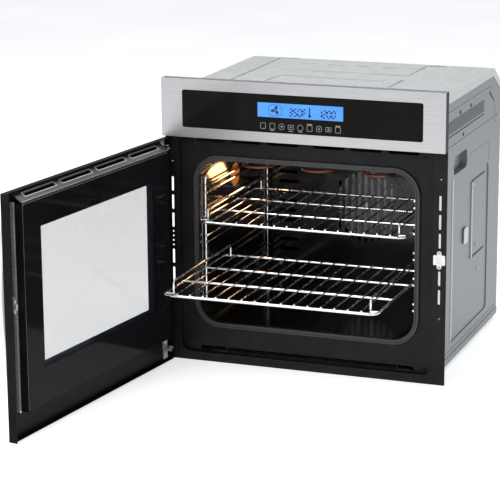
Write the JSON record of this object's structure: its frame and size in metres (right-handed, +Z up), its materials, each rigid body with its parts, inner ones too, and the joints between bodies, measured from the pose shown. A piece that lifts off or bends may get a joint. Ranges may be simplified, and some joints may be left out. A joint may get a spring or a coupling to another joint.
{
  "type": "wall oven",
  "caption": "Built-in electric wall oven with a side-hinged glass door, touch-control fascia, enamelled cavity with fan, and sliding wire racks.",
  "frame": {"origin": "on the underside of the base, in the middle of its width, in the plane of the cabinet face (the back of the front frame)", "axes": "+X to the right seen from the front, +Y back into the cabinet, +Z up"},
  "size_m": [0.7129, 1.1188, 0.595],
  "materials": {
    "galvanised_steel": "satin zinc-coated sheet",
    "stainless_steel": "fine horizontal brushing",
    "charcoal_enamel": "semi-gloss vitreous enamel",
    "cavity_enamel": "gloss vitreous enamel with a fine fleck",
    "black_glass": "polished, printed black behind",
    "door_glass": "polished heat-reflecting glass with a black printed border",
    "blue_display": "backlit",
    "grey_gasket": "heat-proof seal with a bright sheath",
    "mineral_wool": "glass-fibre blanket",
    "chrome_wire": "bright plated wire",
    "element_sheath": "heat-tinted metal sheath",
    "zinc_plate": "zinc plated",
    "light_plastic": "smooth moulded",
    "dark_plastic": "fine texture",
    "fan_metal": "plain pressed metal",
    "motor_casing": "matt paint",
    "circuit_board": "solder mask",
    "lamp_glass": "clear heat-proof glass",
    "loom_sleeve": "woven sleeve"
  },
  "bodies": {
    "cabinet": {"base_pan": "galvanised_steel", "left_side_panel": "galvanised_steel", "right_side_panel": "galvanised_steel", "top_cover": "galvanised_steel", "rear_panel": "galvanised_steel", "grip_cups": "galvanised_steel", "front_frame": "charcoal_enamel", "control_fascia": "stainless_steel", "control_glass": "black_glass", "control_housing": "dark_plastic", "display_module": "blue_display", "control_board": "circuit_board", "cavity_liner": "cavity_enamel", "cavity_supports": "galvanised_steel", "mouth_gasket": "grey_gasket", "insulation_wrap": "mineral_wool", "fan_baffle": "cavity_enamel", "baffle_spacers": "zinc_plate", "ring_element": "element_sheath", "broil_element": "element_sheath", "broil_brackets": "zinc_plate", "bake_element": "element_sheath", "fan_motor": "motor_casing", "air_duct": "galvanised_steel", "duct_cover": "galvanised_steel", "blower_motor": "motor_casing", "power_board": "circuit_board", "lamp_housing": "zinc_plate", "lamp_bulb": "lamp_glass", "lamp_lens": "lamp_glass", "temperature_probe": "zinc_plate", "thermal_cutout": "light_plastic", "left_rack_support": "chrome_wire", "right_rack_support": "chrome_wire", "catch_plate": "light_plastic", "upper_hinge_bracket": "zinc_plate", "lower_hinge_bracket": "zinc_plate", "hinge_pins": "zinc_plate", "frame_screws": "zinc_plate", "body_screws": "zinc_plate", "terminal_box": "dark_plastic", "conduit_gland": "dark_plastic", "wiring_loom": "loom_sleeve"},
    "door": {"door_outer_panel": "stainless_steel", "door_outer_glass": "door_glass", "door_side_rails": "charcoal_enamel", "door_top_vent": "dark_plastic", "door_bottom_rail": "charcoal_enamel", "door_mid_glass": "door_glass", "door_inner_glass": "door_glass", "door_handle": "stainless_steel", "handle_posts": "stainless_steel", "hinge_leaves": "zinc_plate", "hinge_bushes": "light_plastic", "door_strike": "zinc_plate"},
    "lower_rack": {"lower_rack": "chrome_wire"},
    "upper_rack": {"upper_rack": "chrome_wire"},
    "convection_fan": {"convection_fan": "fan_metal", "fan_nut": "zinc_plate"},
    "blower_wheel": {"blower_wheel": "fan_metal"}
  },
  "joints": [
    {"name": "door_swing", "type": "hinge", "parent": "cabinet", "child": "door", "pos_m": [-0.29, -0.0134, 0.2255], "axis": [0, 0, -1], "range_deg": [-97, 8]},
    {"name": "lower_rack_slide", "type": "slide", "parent": "cabinet", "child": "lower_rack", "axis": [0, -1, 0], "range_m": [-0.2872, 0.024]},
    {"name": "upper_rack_slide", "type": "slide", "parent": "cabinet", "child": "upper_rack", "axis": [0, -1, 0], "range_m": [-0.1012, 0.0085]},
    {"name": "fan_spin", "type": "hinge", "parent": "cabinet", "child": "convection_fan", "pos_m": [0, 0.431, 0.2445], "axis": [0, 1, 0], "continuous": true},
    {"name": "blower_spin", "type": "hinge", "parent": "cabinet", "child": "blower_wheel", "pos_m": [0, 0.33, 0.46], "axis": [0, 0, 1], "continuous": true}
  ],
  "couplings": [
    {"joint": "lower_rack_slide", "follows": "door_swing", "m_per_rad": 0.16953},
    {"joint": "upper_rack_slide", "follows": "door_swing", "m_per_rad": 0.059658}
  ]
}
